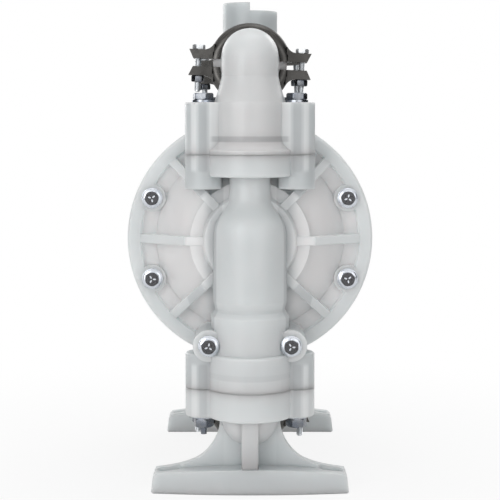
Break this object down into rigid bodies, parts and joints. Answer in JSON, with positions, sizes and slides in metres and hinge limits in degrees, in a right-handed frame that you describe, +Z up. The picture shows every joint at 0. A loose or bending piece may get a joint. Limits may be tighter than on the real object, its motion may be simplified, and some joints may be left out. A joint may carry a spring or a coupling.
{
  "type": "air operated diaphragm pump",
  "caption": "Compact plastic double diaphragm pump run by compressed air, with ribbed chambers, ball check columns, swivelling port pipes and slotted feet.",
  "frame": {"origin": "centre of the foot bolt pattern, on the surface the pump stands on", "axes": "+Z up, Y along the shaft with the front chamber at -Y, +X towards the air valve"},
  "size_m": [0.175, 0.24, 0.3418],
  "materials": {
    "polypropylene": "translucent natural polypropylene",
    "black_rubber": "matt",
    "ptfe": "smooth",
    "stainless": "satin",
    "zinc_plated": "bright zinc plate",
    "aluminium": "satin",
    "acetal": "satin",
    "brass": "satin",
    "grey_plastic": "fine texture"
  },
  "bodies": {
    "pump": {"foot_elbow_front": "polypropylene", "foot_elbow_rear": "polypropylene", "outer_chamber_front": "polypropylene", "outer_chamber_rear": "polypropylene", "outlet_elbow_front": "polypropylene", "outlet_elbow_rear": "polypropylene", "inner_chamber_front": "polypropylene", "inner_chamber_rear": "polypropylene", "diaphragm_front": "black_rubber", "diaphragm_rear": "black_rubber", "chamber_bolts_front": "zinc_plated", "chamber_bolts_rear": "zinc_plated", "chamber_nuts_front": "zinc_plated", "chamber_nuts_rear": "zinc_plated", "inner_screws_front": "zinc_plated", "inner_screws_rear": "zinc_plated", "inlet_seat_front": "polypropylene", "inlet_seat_rear": "polypropylene", "outlet_seat_front": "polypropylene", "outlet_seat_rear": "polypropylene", "inlet_clamp_front": "stainless", "inlet_clamp_rear": "stainless", "outlet_clamp_front": "stainless", "outlet_clamp_rear": "stainless", "seat_rings": "black_rubber", "manifold_seals": "black_rubber", "clamp_bolts": "zinc_plated", "clamp_nuts": "zinc_plated", "elbow_bolts": "zinc_plated", "elbow_washers": "zinc_plated", "foot_studs": "zinc_plated", "foot_nuts": "zinc_plated", "foot_washers": "zinc_plated", "shaft_bushings": "acetal", "shaft_seals": "black_rubber", "center_body": "grey_plastic", "pilot_sleeve": "brass", "valve_gasket": "black_rubber", "valve_body": "aluminium", "valve_sleeve": "brass", "valve_caps": "grey_plastic", "valve_bolts": "zinc_plated", "air_inlet_fitting": "brass", "muffler": "grey_plastic"},
    "shaft": {"shaft": "stainless", "stack_nuts": "stainless", "inner_plate_front": "aluminium", "inner_plate_rear": "aluminium", "outer_plate_front": "polypropylene", "outer_plate_rear": "polypropylene"},
    "pilot": {"pilot_spool": "stainless"},
    "air_spool": {"valve_spool": "acetal"},
    "outlet_manifold": {"outlet_manifold": "polypropylene"},
    "inlet_manifold": {"inlet_manifold": "polypropylene"},
    "inlet_ball_front": {"inlet_ball_front": "ptfe"},
    "inlet_ball_rear": {"inlet_ball_rear": "ptfe"},
    "outlet_ball_front": {"outlet_ball_front": "ptfe"},
    "outlet_ball_rear": {"outlet_ball_rear": "ptfe"}
  },
  "joints": [
    {"name": "shaft_stroke", "type": "slide", "parent": "pump", "child": "shaft", "axis": [0, 1, 0], "range_m": [-0.008, 0.008], "deforming": ["diaphragm_front", "diaphragm_rear"]},
    {"name": "pilot_stroke", "type": "slide", "parent": "pump", "child": "pilot", "axis": [0, 1, 0], "range_m": [-0.003, 0.003]},
    {"name": "air_spool_stroke", "type": "slide", "parent": "pump", "child": "air_spool", "axis": [0, 0, 1], "range_m": [-0.006, 0.006]},
    {"name": "outlet_swivel", "type": "hinge", "parent": "pump", "child": "outlet_manifold", "pos_m": [0, 0, 0.2945], "axis": [0, 1, 0], "range_deg": [-90, 90]},
    {"name": "inlet_swivel", "type": "hinge", "parent": "pump", "child": "inlet_manifold", "pos_m": [0, 0, 0.0505], "axis": [0, -1, 0], "range_deg": [0, 180]},
    {"name": "inlet_ball_front_lift", "type": "slide", "parent": "pump", "child": "inlet_ball_front", "axis": [0, 0, 1], "range_m": [0, 0.006]},
    {"name": "inlet_ball_rear_lift", "type": "slide", "parent": "pump", "child": "inlet_ball_rear", "axis": [0, 0, 1], "range_m": [0, 0.006]},
    {"name": "outlet_ball_front_lift", "type": "slide", "parent": "pump", "child": "outlet_ball_front", "axis": [0, 0, 1], "range_m": [0, 0.006]},
    {"name": "outlet_ball_rear_lift", "type": "slide", "parent": "pump", "child": "outlet_ball_rear", "axis": [0, 0, 1], "range_m": [0, 0.006]}
  ],
  "couplings": [
    {"joint": "pilot_stroke", "follows": "shaft_stroke", "ratio": 0.375}
  ]
}
